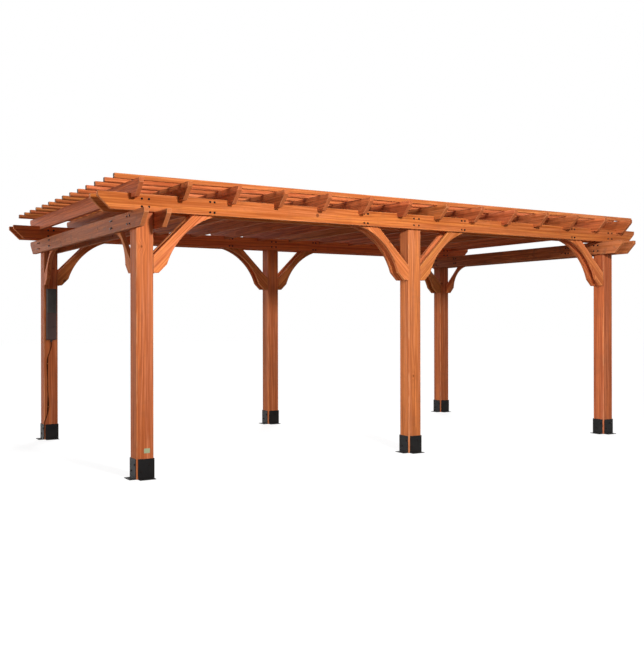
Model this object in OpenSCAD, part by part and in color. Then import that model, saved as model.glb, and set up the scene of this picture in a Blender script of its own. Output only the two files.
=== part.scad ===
// Open timber pergola on six posts: paired header boards, paired side beams,
// knee braces, notched rafters and a layer of roof slats.
// Millimetres. +X runs to the right along the front, +Y to the rear, +Z up.
// The origin is on the ground, midway between the six posts.

/* [Posts] */
// Side of a square post
post_w = 143; // [100:1:200]
// Width of the bevel on each long edge of a post
post_arris = 7; // [2:1:15]
// Distance from a corner post's centre to the middle post's centre
post_pitch = 2660; // [2000:1:3400]
// Distance from the front row's centres to the rear row's centres
row_depth = 2804; // [2200:1:3600]

/* [Boards] */
// Thickness of the header, beam, brace and rafter boards
board_t = 38; // [30:1:50]
// Height of the blunt nose at the top of every board end
tip_nose = 35; // [10:1:60]
// Slope of the cut under the nose: run for each unit of height
tip_slope = 1.04; // [0.5:0.01:1.3]

/* [Headers] */
// Height of the header boards' lower edge above the ground
header_base = 2104; // [1800:1:2600]
// Height of a header board
header_h = 134; // [110:1:180]
// Distance that a header runs on past a corner post's centre
header_overhang = 388; // [300:1:500]

/* [Side beams] */
// Height of a side beam board
beam_h = 134; // [110:1:180]
// Distance that a side beam runs on past a corner post's centre
beam_overhang = 356; // [300:1:500]

/* [Knee braces] */
// Drop from the headers' lower edge to the top edge of a header brace at the post
header_brace_drop = 341; // [300:1:380]
// Distance from the post to the hollow's upper end, at the headers' lower edge
header_brace_reach = 555; // [500:1:620]
// Depth of the hollow in the lower edge of a header brace
header_brace_hollow = 78; // [50:1:90]
// Drop from the headers' lower edge to the top edge of a side brace at the post
side_brace_drop = 368; // [330:1:380]
// Distance from the post to the hollow's upper end, at the side beams' lower edge
side_brace_reach = 410; // [390:1:460]
// Depth of the hollow in the lower edge of a side brace
side_brace_hollow = 82; // [50:1:90]
// Drop from the headers' lower edge to the foot of a brace
brace_foot = 479; // [460:1:520]
// Length of the level cut at the foot of a brace
brace_flat = 44; // [30:1:60]
// Distance from the post to the heel, where the hollow starts
brace_heel = 115; // [100:1:130]

/* [Rafters] */
// Height of a rafter board
rafter_h = 134; // [110:1:180]
// Depth of the notch where a rafter sits over a pair of header boards
rafter_notch = 36; // [15:1:60]
// Clearance between a header board's outer face and the notch's side
notch_clearance = 1; // [0.5:0.5:3]
// Distance that a rafter runs on past a post row's centre line
rafter_overhang = 297; // [200:1:400]
// Distance from a corner post's centre out to the end rafter's centre
end_rafter_out = 107; // [95:1:150]
// Spacing from each end rafter to the next one in
end_rafter_pitch = 396; // [300:1:450]
// Number of rafters between the two end rafters
inner_rafters = 12; // [8:2:16]

/* [Roof slats] */
// Side of a square roof slat
slat_w = 38; // [30:1:50]
// Number of roof slats
slat_count = 14; // [10:2:16]
// Distance from a post row's centre line out to the first slat's centre
slat_out = 146; // [120:1:180]
// Distance that a slat runs on past the end rafter's outer face
slat_overhang = 150; // [80:1:250]

/* [Post shoes] */
// Height of a shoe's upright legs
shoe_h = 160; // [100:1:200]
// Thickness of the shoe plates
shoe_t = 5; // [3:0.5:8]
// Strip of bare post left between the two angles of a shoe
shoe_gap = 12; // [6:1:30]
// Width of a shoe's ground flange
shoe_flange = 48; // [40:1:70]
// Diameter of the anchor holes in a flange
anchor_d = 14; // [10:0.5:18]
// Spacing of the two anchor holes in a flange
anchor_spacing = 80; // [60:1:90]

/* [Power box] */
// Width of the power box
box_w = 104; // [80:1:120]
// Depth of the power box body
box_depth = 34; // [25:1:60]
// Height of the power box's lower end above the ground
box_base = 1051; // [900:1:1200]
// Height of the power box
box_h = 535; // [480:1:560]
// Height of the plain lower part, up to the ribs
box_plain_h = 281; // [240:1:320]
// Height of the lowest cover
box_cover_h = 129; // [100:1:160]
// Thickness of the covers
box_cover_t = 10; // [5:1:15]
// Gap between the covers and the ribs
box_seam = 3; // [2:0.5:5]
// Depth of the cooling ribs
rib_depth = 16; // [10:1:25]
// Thickness of a cooling rib
rib_t = 4; // [2:0.5:6]
// Number of cooling ribs
rib_count = 8; // [6:1:9]

/* [Supply cable] */
// Diameter of the supply cable
cable_d = 9; // [6:0.5:12]
// Diameter of the cable gland
gland_d = 24; // [18:1:30]
// Length of the cable gland below the box
gland_h = 22; // [15:1:30]
// Width of a cable clip
clip_w = 24; // [18:1:30]
// Height of a cable clip
clip_h = 9; // [6:1:15]
// Thickness of a clip outside the cable
clip_t = 2; // [1.5:0.5:4]
// Clearance between the cable and a clip
clip_clearance = 0.4; // [0.2:0.1:1]

/* [Hidden] */
$fn = 64;

// Heights
header_top = header_base + header_h;
beam_base = header_base - beam_h;
rafter_base = header_top - rafter_notch;
rafter_top = rafter_base + rafter_h;

// Plan
front_y = -row_depth / 2;
rear_y = row_depth / 2;
half_post = post_w / 2;
header_length = 2 * (post_pitch + header_overhang);
beam_length = row_depth + 2 * beam_overhang;
rafter_length = row_depth + 2 * rafter_overhang;
end_rafter_x = post_pitch + end_rafter_out;
inner_rafter_x = end_rafter_x - end_rafter_pitch;
rafter_pitch = 2 * inner_rafter_x / (inner_rafters - 1);
slat_length = 2 * (end_rafter_x + board_t / 2 + slat_overhang);
slat_pitch = (row_depth + 2 * slat_out) / (slat_count - 1);

// Power box, on the front face of the rear left post
box_face_y = rear_y - half_post;
overcut = 1;
heel_lap = 10;

// Route of the cable's centre line, from the gland down the post's front face
// to its left corner, and down the slot in the shoe into the ground. x is
// measured from the post's centre, y from its front face, z from the ground.
cable_route = [
    [0, -17, 1029], [0, -17, 1005], [-2, -15, 980], [-8, -10, 950], [-18, -6, 915],
    [-31, -5, 880], [-40, -5, 845], [-43, -5, 800], [-42, -5, 740], [-39, -5, 680],
    [-36, -5, 620], [-36, -5, 560], [-35, -5, 500], [-31, -5, 440], [-27, -5, 390],
    [-26, -5, 345], [-31, -5, 305], [-41, -5, 265], [-55, -6, 225], [-68, -4, 190],
    [-72, 0, 150], [-72, 0, 80], [-72, 0, 3]
];
clip_stations = [7, 11, 15];
cable_sides = 10;
rings_a_step = 2;

// Point on the smooth curve through b and c, with a and d as their neighbours
function curve_point(a, b, c, d, t) =
    0.5 * (2 * b + (c - a) * t + (2 * a - 5 * b + 4 * c - d) * t * t
           + (3 * b - a - 3 * c + d) * t * t * t);
function route_point(route, i) = route[max(0, min(len(route) - 1, i))];
function smooth_path(route, steps) = [
    for (i = [0 : len(route) - 2], k = [0 : steps - 1])
        curve_point(route_point(route, i - 1), route_point(route, i),
                    route_point(route, i + 1), route_point(route, i + 2), k / steps),
    route_point(route, len(route) - 1)
];
function unit(v) = v / norm(v);
function heading(path, i) =
    unit(route_point(path, i + 1) - route_point(path, i - 1));
function ring(centre, along, r, sides) =
    let (u = unit(cross(along, [0, 1, 0])), v = cross(u, along))
    [for (k = [0 : sides - 1])
        centre + r * (cos(360 * k / sides) * u + sin(360 * k / sides) * v)];

wood = "#c8703c";
dark = "#2a2729";

// Upright square timber with its four long edges bevelled
module post(x, y) {
    a = half_post;
    b = half_post - post_arris;
    color(wood)
        translate([x, y, 0])
            linear_extrude(header_top)
                polygon([[-b, -a], [b, -a], [a, -b], [a, b], [b, a], [-b, a], [-a, b], [-a, -b]]);
}

// Outline of a board on edge, cut back under a blunt nose at both ends
module board_outline(length, height) {
    nose_base = height - tip_nose;
    run = tip_slope * nose_base;
    polygon([[-length / 2, height], [-length / 2, nose_base], [-length / 2 + run, 0],
             [length / 2 - run, 0], [length / 2, nose_base], [length / 2, height]]);
}

// Board on edge along X, centred on X
module board_along_x(length, height) {
    rotate([90, 0, 0])
        linear_extrude(board_t, center = true)
            board_outline(length, height);
}

// One header board; side is -1 on the front face of the posts, 1 on the rear face
module header_board(y, side) {
    color(wood)
        translate([0, y + side * (half_post + board_t / 2), header_base])
            board_along_x(header_length, header_h);
}

// One side beam board; side is -1 on the left face of the posts, 1 on the right face
module beam_board(x, side) {
    color(wood)
        translate([x + side * (half_post + board_t / 2), 0, beam_base])
            rotate([0, 0, 90])
                board_along_x(beam_length, beam_h);
}

// Outline of a brace board: x is the distance from the post, y the height above
// the headers' lower edge. The board lies at 45 degrees and runs up to top. The
// hollow is an arc cut in its lower edge, from the heel to the lower edge of the
// board that it carries, which is at low. Both straight stretches of the lower
// edge run on into the hollow, so that the arc cuts across them.
module brace_outline(drop, reach, hollow, low, top) {
    heel = [brace_heel, brace_heel - brace_flat - brace_foot];
    tip = [reach, low];
    half_run = (tip.x - heel.x) / 2;
    chord = norm(tip - heel);
    hollow_r = (chord * chord / 4 + hollow * hollow) / (2 * hollow);
    outward = [tip.y - heel.y, heel.x - tip.x] / chord;
    difference() {
        polygon([[0, -drop], [0, -brace_foot], [brace_flat, -brace_foot],
                 heel + [heel_lap, heel_lap], tip - [half_run, half_run],
                 [reach + top - low, top], [drop + top, top]]);
        translate((heel + tip) / 2 + (hollow_r - hollow) * outward)
            circle(r = hollow_r, $fn = 180);
    }
}

// Two brace boards flush with the post's faces, leaving it in one direction. They
// run up between the header boards to their top edge.
module header_brace(x, y, direction) {
    color(wood)
        translate([x, y, header_base])
            rotate([0, 0, direction])
                for (side = [-1, 1])
                    translate([half_post, side * (half_post - board_t / 2), 0])
                        rotate([90, 0, 0])
                            linear_extrude(board_t, center = true)
                                brace_outline(header_brace_drop, header_brace_reach,
                                              header_brace_hollow, 0, header_h);
}

// One brace board flush with a corner post's outer face, leaving it to the front or
// rear. It runs up behind the outer beam board to its top edge.
module side_brace(x, y, direction) {
    color(wood)
        translate([x + sign(x) * (half_post - board_t / 2), y, header_base])
            rotate([0, 0, direction])
                translate([half_post, 0, 0])
                    rotate([90, 0, 0])
                        linear_extrude(board_t, center = true)
                            brace_outline(side_brace_drop, side_brace_reach,
                                          side_brace_hollow, -beam_h, 0);
}

// Rafter along Y, with one wide notch over each pair of header boards
module rafter(x) {
    notch_w = post_w + 2 * board_t + 2 * notch_clearance;
    color(wood)
        translate([x, 0, rafter_base])
            rotate([90, 0, 90])
                linear_extrude(board_t, center = true)
                    difference() {
                        board_outline(rafter_length, rafter_h);
                        for (row = [front_y, rear_y])
                            translate([row - notch_w / 2, -overcut])
                                square([notch_w, rafter_notch + overcut]);
                    }
}

// Rafters first to last of the evenly spaced ones, counted from the left
module inner_rafter_run(first, last) {
    for (i = [first : last])
        rafter(-inner_rafter_x + i * rafter_pitch);
}

// Roof slats first to last, counted from the front, lying across the rafters
module slat_run(first, last) {
    color(wood)
        for (i = [first : last])
            translate([-slat_length / 2, front_y - slat_out + i * slat_pitch - slat_w / 2, rafter_top])
                cube([slat_length, slat_w, slat_w]);
}

// Steel angle round the front right corner of a post, with a ground flange in front
module shoe_angle() {
    leg = post_w - shoe_gap;
    difference() {
        union() {
            translate([half_post - leg, -half_post - shoe_t, 0])
                cube([leg + shoe_t, shoe_t, shoe_h]);
            translate([half_post, -half_post - shoe_t, 0])
                cube([shoe_t, leg + shoe_t, shoe_h]);
            translate([half_post - leg, -half_post - shoe_t - shoe_flange, 0])
                cube([leg, shoe_flange + shoe_t, shoe_t]);
        }
        for (side = [-1, 1])
            translate([half_post - leg / 2 + side * anchor_spacing / 2,
                       -half_post - shoe_t - shoe_flange / 2, -overcut])
                cylinder(d = anchor_d, h = shoe_t + 2 * overcut);
    }
}

// Two angles that close round opposite corners of a post
module shoe(x, y) {
    color(dark)
        translate([x, y, 0]) {
            shoe_angle();
            mirror([1, -1, 0])
                shoe_angle();
        }
}

module power_box_body() {
    color(dark)
        translate([-post_pitch - box_w / 2, box_face_y - box_depth, box_base])
            cube([box_w, box_depth, box_h]);
}

// Plate with upright cooling ribs on the upper part of the box
module power_box_ribs() {
    plate_w = box_w - 2 * rib_t;
    gap = (plate_w - rib_t) / (rib_count - 1);
    base = box_base + box_plain_h + box_seam;
    height = box_h - box_plain_h - 2 * box_seam;
    color(dark)
        translate([-post_pitch - plate_w / 2, box_face_y - box_depth, base]) {
            translate([0, -rib_t, 0])
                cube([plate_w, rib_t, height]);
            for (i = [0 : rib_count - 1])
                translate([i * gap, -rib_depth, 0])
                    cube([rib_t, rib_depth, height]);
        }
}

// Two plain covers on the lower part of the box
module power_box_covers() {
    cover_w = box_w - 2 * box_seam;
    upper_h = box_plain_h - box_cover_h - box_seam;
    color(dark)
        translate([-post_pitch - cover_w / 2, box_face_y - box_depth - box_cover_t, box_base]) {
            translate([0, 0, box_seam])
                cube([cover_w, box_cover_t, box_cover_h - box_seam]);
            translate([0, 0, box_cover_h + box_seam])
                cube([cover_w, box_cover_t, upper_h]);
        }
}

// Gland under the box that the supply cable leaves by
module cable_gland() {
    color(dark)
        translate([-post_pitch, box_face_y - box_depth / 2, box_base - gland_h])
            difference() {
                cylinder(d = gland_d, h = gland_h);
                translate([0, 0, -overcut])
                    cylinder(d = cable_d, h = gland_h + 2 * overcut);
            }
}

// Round tube of one closed skin along a path
module swept_tube(path, d, sides) {
    last = len(path) - 1;
    points = [for (i = [0 : last]) each ring(path[i], heading(path, i), d / 2, sides)];
    walls = [for (i = [0 : last - 1], k = [0 : sides - 1])
        let (n = (k + 1) % sides)
        [i * sides + k, i * sides + n, (i + 1) * sides + n, (i + 1) * sides + k]];
    ends = [[for (k = [sides - 1 : -1 : 0]) k], [for (k = [0 : sides - 1]) last * sides + k]];
    polyhedron(points, concat(walls, ends));
}

module supply_cable() {
    color(dark)
        translate([-post_pitch, box_face_y, 0])
            swept_tube(smooth_path(cable_route, rings_a_step), cable_d, cable_sides);
}

// Saddles that hold the cable to the post
module cable_clips() {
    depth = cable_d + clip_t + clip_clearance;
    color(dark)
        translate([-post_pitch, box_face_y, 0])
            for (i = clip_stations)
                translate([cable_route[i].x, 0, cable_route[i].z - clip_h / 2])
                    difference() {
                        translate([-clip_w / 2, -depth, 0])
                            cube([clip_w, depth, clip_h]);
                        translate([0, cable_route[i].y, -overcut])
                            cylinder(r = cable_d / 2 + clip_clearance, h = clip_h + 2 * overcut);
                    }
}

post(-post_pitch, front_y);  // front_left_post
post(0, front_y);  // front_middle_post
post(post_pitch, front_y);  // front_right_post
post(-post_pitch, rear_y);  // rear_left_post
post(0, rear_y);  // rear_middle_post
post(post_pitch, rear_y);  // rear_right_post
shoe(-post_pitch, front_y);  // front_left_shoe
shoe(0, front_y);  // front_middle_shoe
shoe(post_pitch, front_y);  // front_right_shoe
shoe(-post_pitch, rear_y);  // rear_left_shoe
shoe(0, rear_y);  // rear_middle_shoe
shoe(post_pitch, rear_y);  // rear_right_shoe
header_board(front_y, -1);  // front_header_outer_board
header_board(front_y, 1);  // front_header_inner_board
header_board(rear_y, -1);  // rear_header_inner_board
header_board(rear_y, 1);  // rear_header_outer_board
beam_board(-post_pitch, -1);  // left_beam_outer_board
beam_board(-post_pitch, 1);  // left_beam_inner_board
beam_board(post_pitch, -1);  // right_beam_inner_board
beam_board(post_pitch, 1);  // right_beam_outer_board
header_brace(-post_pitch, front_y, 0);  // front_left_header_brace
side_brace(-post_pitch, front_y, 90);  // front_left_side_brace
header_brace(0, front_y, 180);  // front_middle_left_brace
header_brace(0, front_y, 0);  // front_middle_right_brace
header_brace(post_pitch, front_y, 180);  // front_right_header_brace
side_brace(post_pitch, front_y, 90);  // front_right_side_brace
header_brace(-post_pitch, rear_y, 0);  // rear_left_header_brace
side_brace(-post_pitch, rear_y, 270);  // rear_left_side_brace
header_brace(0, rear_y, 180);  // rear_middle_left_brace
header_brace(0, rear_y, 0);  // rear_middle_right_brace
header_brace(post_pitch, rear_y, 180);  // rear_right_header_brace
side_brace(post_pitch, rear_y, 270);  // rear_right_side_brace
rafter(-end_rafter_x);  // left_end_rafter
inner_rafter_run(0, inner_rafters / 2 - 1);  // left_bay_rafters
inner_rafter_run(inner_rafters / 2, inner_rafters - 1);  // right_bay_rafters
rafter(end_rafter_x);  // right_end_rafter
slat_run(0, slat_count / 2 - 1);  // front_roof_slats
slat_run(slat_count / 2, slat_count - 1);  // rear_roof_slats
power_box_body();
power_box_ribs();
power_box_covers();
cable_gland();
supply_cable();
cable_clips();
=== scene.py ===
"""Finish of an open timber pergola: eased and stained cedar boards, coated steel
post shoes, bolts, and a power box with its supply cable. Lengths are in metres."""

import logging
import math
import random
from collections.abc import Callable
from dataclasses import dataclass, field
from enum import Enum
from functools import lru_cache, reduce
from itertools import product

import bmesh
import bpy
from mathutils import Euler, Matrix, Vector


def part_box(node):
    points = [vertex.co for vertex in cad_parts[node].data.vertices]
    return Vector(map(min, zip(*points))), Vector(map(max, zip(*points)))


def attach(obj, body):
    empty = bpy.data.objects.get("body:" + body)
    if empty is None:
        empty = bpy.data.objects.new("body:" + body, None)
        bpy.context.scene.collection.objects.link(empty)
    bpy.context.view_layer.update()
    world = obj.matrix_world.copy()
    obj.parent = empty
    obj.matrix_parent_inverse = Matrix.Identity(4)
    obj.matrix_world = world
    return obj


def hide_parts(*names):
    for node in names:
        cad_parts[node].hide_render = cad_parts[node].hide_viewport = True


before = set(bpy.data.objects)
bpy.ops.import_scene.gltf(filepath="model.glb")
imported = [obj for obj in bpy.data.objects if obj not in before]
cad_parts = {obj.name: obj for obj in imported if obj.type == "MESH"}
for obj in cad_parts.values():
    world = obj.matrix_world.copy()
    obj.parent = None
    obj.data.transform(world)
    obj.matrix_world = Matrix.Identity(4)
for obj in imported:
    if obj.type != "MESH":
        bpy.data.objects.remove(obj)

LOG = logging.getLogger("pergola")
BODY = "root"
WHITE = (1.0, 1.0, 1.0, 1.0)
LOG_REACH = 20.0

Colour = tuple[float, float, float]
Point = tuple[float, float, float]
Socket = bpy.types.NodeSocket
Sockets = bpy.types.bpy_prop_collection
Fixing = tuple[Vector, Vector]
NUMBER = "NodeSocketFloat"
VECTOR = "NodeSocketVector"


# ---------------------------------------------------------------- node trees


class Sketch:
    """Adds nodes to one node tree and joins their sockets."""

    def __init__(self, tree: bpy.types.NodeTree) -> None:
        """Keep the tree that the nodes go into."""
        self.tree = tree

    def add(self, kind: str, inputs: dict | None = None, **settings) -> bpy.types.Node:
        """Add one node.

        Args:
            kind: Blender's name for the node type.
            inputs: Value, or socket to join, for each input by name or number.
            settings: Properties of the node.

        Returns:
            The new node.
        """
        node = self.tree.nodes.new(kind)
        for name, value in settings.items():
            setattr(node, name, value)
        for key, value in (inputs or {}).items():
            if isinstance(value, Socket):
                self.tree.links.new(value, node.inputs[key])
            else:
                node.inputs[key].default_value = value
        return node

    def math(self, operation: str, *values: float | Socket) -> Socket:
        """Work out one number from others."""
        return self.add("ShaderNodeMath", dict(enumerate(values)), operation=operation).outputs[0]

    def vector(self, operation: str, *values: tuple | Socket) -> Socket:
        """Work out one vector from others."""
        node = self.add("ShaderNodeVectorMath", dict(enumerate(values)), operation=operation)
        return node.outputs["Vector"]

    def step(self, value: Socket, low: float, high: float) -> Socket:
        """Rise smoothly from 0 to 1 while the value goes from low to high."""
        inputs = {"Value": value, "From Min": low, "From Max": high}
        return self.add("ShaderNodeMapRange", inputs, interpolation_type="SMOOTHSTEP").outputs[0]

    def spread(self, value: Socket, low: float, high: float) -> Socket:
        """Turn a value from 0 to 1 into one from low to high."""
        inputs = {"Value": value, "To Min": low, "To Max": high}
        return self.add("ShaderNodeMapRange", inputs).outputs[0]

    def noise(self, place: Socket, stretch: tuple, detail: float = 2.0) -> bpy.types.Node:
        """Add a noise whose grains are 1 / stretch long on each axis."""
        scaled = self.vector("MULTIPLY", place, stretch)
        return self.add("ShaderNodeTexNoise", {"Vector": scaled, "Scale": 1.0, "Detail": detail})

    def blend(self, share: float | Socket, under: Colour | Socket, over: Colour | Socket) -> Socket:
        """Lay one colour over another.

        Args:
            share: How much of the upper colour shows, from 0 to 1.
            under: The lower colour.
            over: The upper colour.

        Returns:
            The socket that gives the blended colour.
        """
        inputs = {0: share}
        for key, colour in ((6, under), (7, over)):
            inputs[key] = colour if isinstance(colour, Socket) else (*colour, 1.0)
        return self.add("ShaderNodeMix", inputs, data_type="RGBA").outputs[2]

    def attribute(self, name: str) -> bpy.types.Node:
        """Read an attribute that the mesh carries."""
        return self.add("ShaderNodeAttribute", attribute_name=name)

    def times(self, *factors: float | Socket) -> Socket:
        """Multiply numbers, from the first to the last."""
        return reduce(lambda left, right: self.math("MULTIPLY", left, right), factors)

    def plus(self, value: float | Socket, added: float | Socket) -> Socket:
        """Add two numbers."""
        return self.math("ADD", value, added)

    def less(self, value: float | Socket, taken: float | Socket) -> Socket:
        """Take one number from another."""
        return self.math("SUBTRACT", value, taken)

    def length(self, value: Socket) -> Socket:
        """Give the length of a vector."""
        return self.add("ShaderNodeVectorMath", {0: value}, operation="LENGTH").outputs["Value"]

    def split(self, value: Socket) -> Sockets:
        """Give the X, Y and Z of a vector."""
        return self.add("ShaderNodeSeparateXYZ", {0: value}).outputs

    def join(self, x: Socket, y: Socket) -> Socket:
        """Make a vector from its X and Y."""
        return self.add("ShaderNodeCombineXYZ", {0: x, 1: y}).outputs[0]

    def group(self, tree: bpy.types.NodeTree, inputs: dict) -> Sockets:
        """Place a shared shader group, and give its outputs."""
        return self.add("ShaderNodeGroup", inputs, node_tree=tree).outputs

    def named(self, name: str) -> Socket:
        """Read a vector attribute of the shape that a geometry node tree works on."""
        node = self.add("GeometryNodeInputNamedAttribute", {"Name": name}, data_type="FLOAT_VECTOR")
        return node.outputs[0]

    def store(self, shape: Socket, name: str, value: Socket, kind: str, domain: str) -> Socket:
        """Keep a value on a shape in a geometry node tree.

        Args:
            shape: The shape.
            name: Name of the attribute.
            value: The value.
            kind: Blender's name for the value's type.
            domain: Blender's name for what carries the value.

        Returns:
            The shape with its attribute.
        """
        inputs = {"Geometry": shape, "Name": name, "Value": value}
        node = self.add("GeometryNodeStoreNamedAttribute", inputs, data_type=kind, domain=domain)
        return node.outputs[0]


def new_group(kind: str, name: str, inputs: dict[str, str], outputs: dict[str, str]) -> Sketch:
    """Make an empty node group.

    Args:
        kind: Type of node tree.
        name: Name of the group.
        inputs: Socket type of each input, by name.
        outputs: Socket type of each output, by name.

    Returns:
        A sketch of the new group.
    """
    tree = bpy.data.node_groups.new(name, kind)
    for side, sockets in (("INPUT", inputs), ("OUTPUT", outputs)):
        for label, socket_type in sockets.items():
            tree.interface.new_socket(name=label, in_out=side, socket_type=socket_type)
    return Sketch(tree)


# ------------------------------------------------------- shared shader groups


@lru_cache(maxsize=None)
def cedar_figure() -> bpy.types.NodeTree:
    """Growth rings round a pith line along X, with knots that the rings bend round.

    Returns:
        The node group, whose outputs all run from 0 to 1.
    """
    knots_a_metre, knots_a_radian, knot_squash = 1.6, 1.3, 0.7
    largest_knot, clear_knot, knot_edge = 0.03, 0.004, 450.0
    bend_reach, bend_depth = 0.028, 0.011
    ring_unevenness = 3.0
    sketch = new_group(
        "ShaderNodeTree",
        "cedar_figure",
        {"Grain": VECTOR, "Ring Pitch": NUMBER, "Wander": NUMBER, "Knottiness": NUMBER},
        dict.fromkeys(("Late Wood", "Band", "Streak", "Fine", "Knot", "Fibre"), NUMBER),
    )
    given = sketch.add("NodeGroupInput").outputs
    drift = sketch.noise(given["Grain"], (0.9, 7.0, 7.0)).outputs[1]
    drift = sketch.vector("SUBTRACT", drift, (0.5, 0.5, 0.5))
    drift = sketch.vector("MULTIPLY", drift, (0.0, 1.0, 1.0))
    scaled = {0: drift, "Scale": given["Wander"]}
    drift = sketch.add("ShaderNodeVectorMath", scaled, operation="SCALE")
    place = sketch.vector("ADD", given["Grain"], drift.outputs["Vector"])
    part = sketch.split(place)
    along = part["X"]
    angle = sketch.math("ARCTAN2", part["Z"], part["Y"])
    radius = sketch.length(sketch.vector("MULTIPLY", place, (0.0, 1.0, 1.0)))

    cell = sketch.join(sketch.times(along, knots_a_metre), sketch.times(angle, knots_a_radian))
    nearest = sketch.add(
        "ShaderNodeTexVoronoi", {"Vector": cell, "Scale": 1.0}, voronoi_dimensions="2D"
    )
    centre = sketch.split(nearest.outputs["Position"])
    chance = sketch.add("ShaderNodeSeparateColor", {0: nearest.outputs["Color"]}).outputs[0]
    off_x = sketch.less(along, sketch.math("DIVIDE", centre["X"], knots_a_metre))
    off_turn = sketch.less(angle, sketch.math("DIVIDE", centre["Y"], knots_a_radian))
    off_y = sketch.times(off_turn, radius)
    away = sketch.length(sketch.join(sketch.times(off_x, knot_squash), off_y))
    rarity = sketch.less(1.0, given["Knottiness"])
    knot_r = sketch.times(sketch.less(chance, rarity), largest_knot)
    knot = sketch.times(sketch.less(knot_r, away), knot_edge)
    has_knot = sketch.step(knot_r, 0.0, clear_knot)
    near = sketch.math("DIVIDE", away, bend_reach)
    near = sketch.math("EXPONENT", sketch.times(near, near, -1.0))
    radius = sketch.plus(radius, sketch.times(near, has_knot, bend_depth))

    ring_place = sketch.join(radius, along)
    uneven = sketch.times(sketch.noise(ring_place, (40.0, 0.1, 0.0)).outputs[0], ring_unevenness)
    ring = sketch.plus(sketch.math("DIVIDE", radius, given["Ring Pitch"]), uneven)
    phase = sketch.math("FRACT", ring)
    late = sketch.less(sketch.step(phase, 0.4, 0.9), sketch.step(phase, 0.92, 1.0))
    sketch.add(
        "NodeGroupOutput",
        {
            "Late Wood": late,
            "Band": sketch.noise(ring_place, (55.0, 0.5, 0.0), 3.0).outputs[0],
            "Streak": sketch.noise(place, (2.0, 110.0, 110.0), 4.0).outputs[0],
            "Fine": sketch.noise(place, (7.0, 420.0, 420.0), 3.0).outputs[0],
            "Knot": sketch.add("ShaderNodeClamp", {0: knot}).outputs[0],
            "Fibre": sketch.noise(given["Grain"], (25.0, 900.0, 900.0)).outputs[0],
        },
    )
    return sketch.tree


@lru_cache(maxsize=None)
def edge_wear_and_highlight() -> bpy.types.NodeTree:
    """Patchy wear along eased edges; on the stained cedar the same mask also paints a highlight
    along the arrises.

    Returns:
        The node group, which puts out a mask.
    """
    sketch = new_group(
        "ShaderNodeTree",
        "edge_wear_and_highlight",
        {"Place": VECTOR, "Edge": NUMBER, "Patch Scale": NUMBER, "Amount": NUMBER},
        {"Mask": NUMBER},
    )
    given = sketch.add("NodeGroupInput").outputs
    inputs = {"Vector": given["Place"], "Scale": given["Patch Scale"], "Detail": 3.0}
    patches = sketch.step(sketch.add("ShaderNodeTexNoise", inputs).outputs[0], 0.35, 0.65)
    sketch.add("NodeGroupOutput", {"Mask": sketch.times(patches, given["Edge"], given["Amount"])})
    return sketch.tree


@lru_cache(maxsize=None)
def settled_dust() -> bpy.types.NodeTree:
    """Dust on upward faces, and splashes just above the ground.

    Returns:
        The node group, which puts out a mask.
    """
    splash_height = 0.28
    sketch = new_group(
        "ShaderNodeTree",
        "settled_dust",
        {"Place": VECTOR, "Dust": NUMBER, "Splash": NUMBER},
        {"Mask": NUMBER},
    )
    given = sketch.add("NodeGroupInput").outputs
    facing = sketch.split(sketch.add("ShaderNodeNewGeometry").outputs["Normal"])["Z"]
    height = sketch.split(given["Place"])["Z"]
    cloud = sketch.noise(given["Place"], (9.0, 9.0, 9.0), 5.0).outputs[0]
    top = sketch.times(sketch.step(facing, 0.4, 1.0), given["Dust"])
    low = sketch.less(1.0, sketch.step(height, 0.0, splash_height))
    low = sketch.times(low, low, given["Splash"])
    mask = sketch.times(sketch.plus(top, low), sketch.step(cloud, 0.3, 0.7))
    sketch.add("NodeGroupOutput", {"Mask": mask})
    return sketch.tree


# ------------------------------------------------------------------ finishes


class Finish:
    """Base of the finishes: each builds one material, once."""

    name: str

    def material(self) -> bpy.types.Material:
        """Give the finish's material, and build it on the first call.

        Returns:
            The material.
        """
        found = bpy.data.materials.get(self.name)
        if found:
            return found
        made = bpy.data.materials.new(self.name)
        made.use_nodes = True
        made.node_tree.nodes.clear()
        sketch = Sketch(made.node_tree)
        shader = self.shader(sketch)
        sketch.add("ShaderNodeOutputMaterial", {"Surface": shader.outputs[0]})
        return made

    def shader(self, sketch: Sketch) -> bpy.types.Node:
        """Build the shader; each finish has its own."""
        raise NotImplementedError

    @staticmethod
    def wear(sketch: Sketch, place: Socket, patch_scale: float, amount: float) -> Socket:
        """Give the share of bare or faded surface along worn edges; on the stained cedar the same
        share also paints a highlight along the arrises.

        Args:
            sketch: The material's node tree.
            place: Place on the object.
            patch_scale: Scale of the patchy noise; a higher one gives smaller patches.
            amount: How strongly the wear shows.

        Returns:
            The mask.
        """
        edge = sketch.attribute("eased").outputs["Fac"]
        inputs = {"Place": place, "Edge": edge, "Patch Scale": patch_scale, "Amount": amount}
        return sketch.group(edge_wear_and_highlight(), inputs)["Mask"]

    @staticmethod
    def dirt(sketch: Sketch, place: Socket, dust: float, splash: float) -> Socket:
        """Give the share of dust and splashed dirt."""
        inputs = {"Place": place, "Dust": dust, "Splash": splash}
        return sketch.group(settled_dust(), inputs)["Mask"]

    @staticmethod
    def surface(
        sketch: Sketch, colour: Socket, roughness: Socket, specular: float, relief: Socket,
        strength: float, depth: float,
    ) -> bpy.types.Node:
        """Make the shader of an opaque surface with a fine relief.

        Args:
            sketch: The material's node tree.
            colour: The colour.
            roughness: The roughness.
            specular: Strength of the reflections.
            relief: Height of the relief, before its strength and depth.
            strength: How strongly the relief shows.
            depth: Depth of the relief.

        Returns:
            The shader node.
        """
        inputs = {"Height": relief, "Strength": strength, "Distance": depth}
        bump = sketch.add("ShaderNodeBump", inputs)
        return sketch.add(
            "ShaderNodeBsdfPrincipled",
            {
                "Base Color": colour,
                "Roughness": roughness,
                "Specular IOR Level": specular,
                "Normal": bump.outputs[0],
            },
        )


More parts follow.
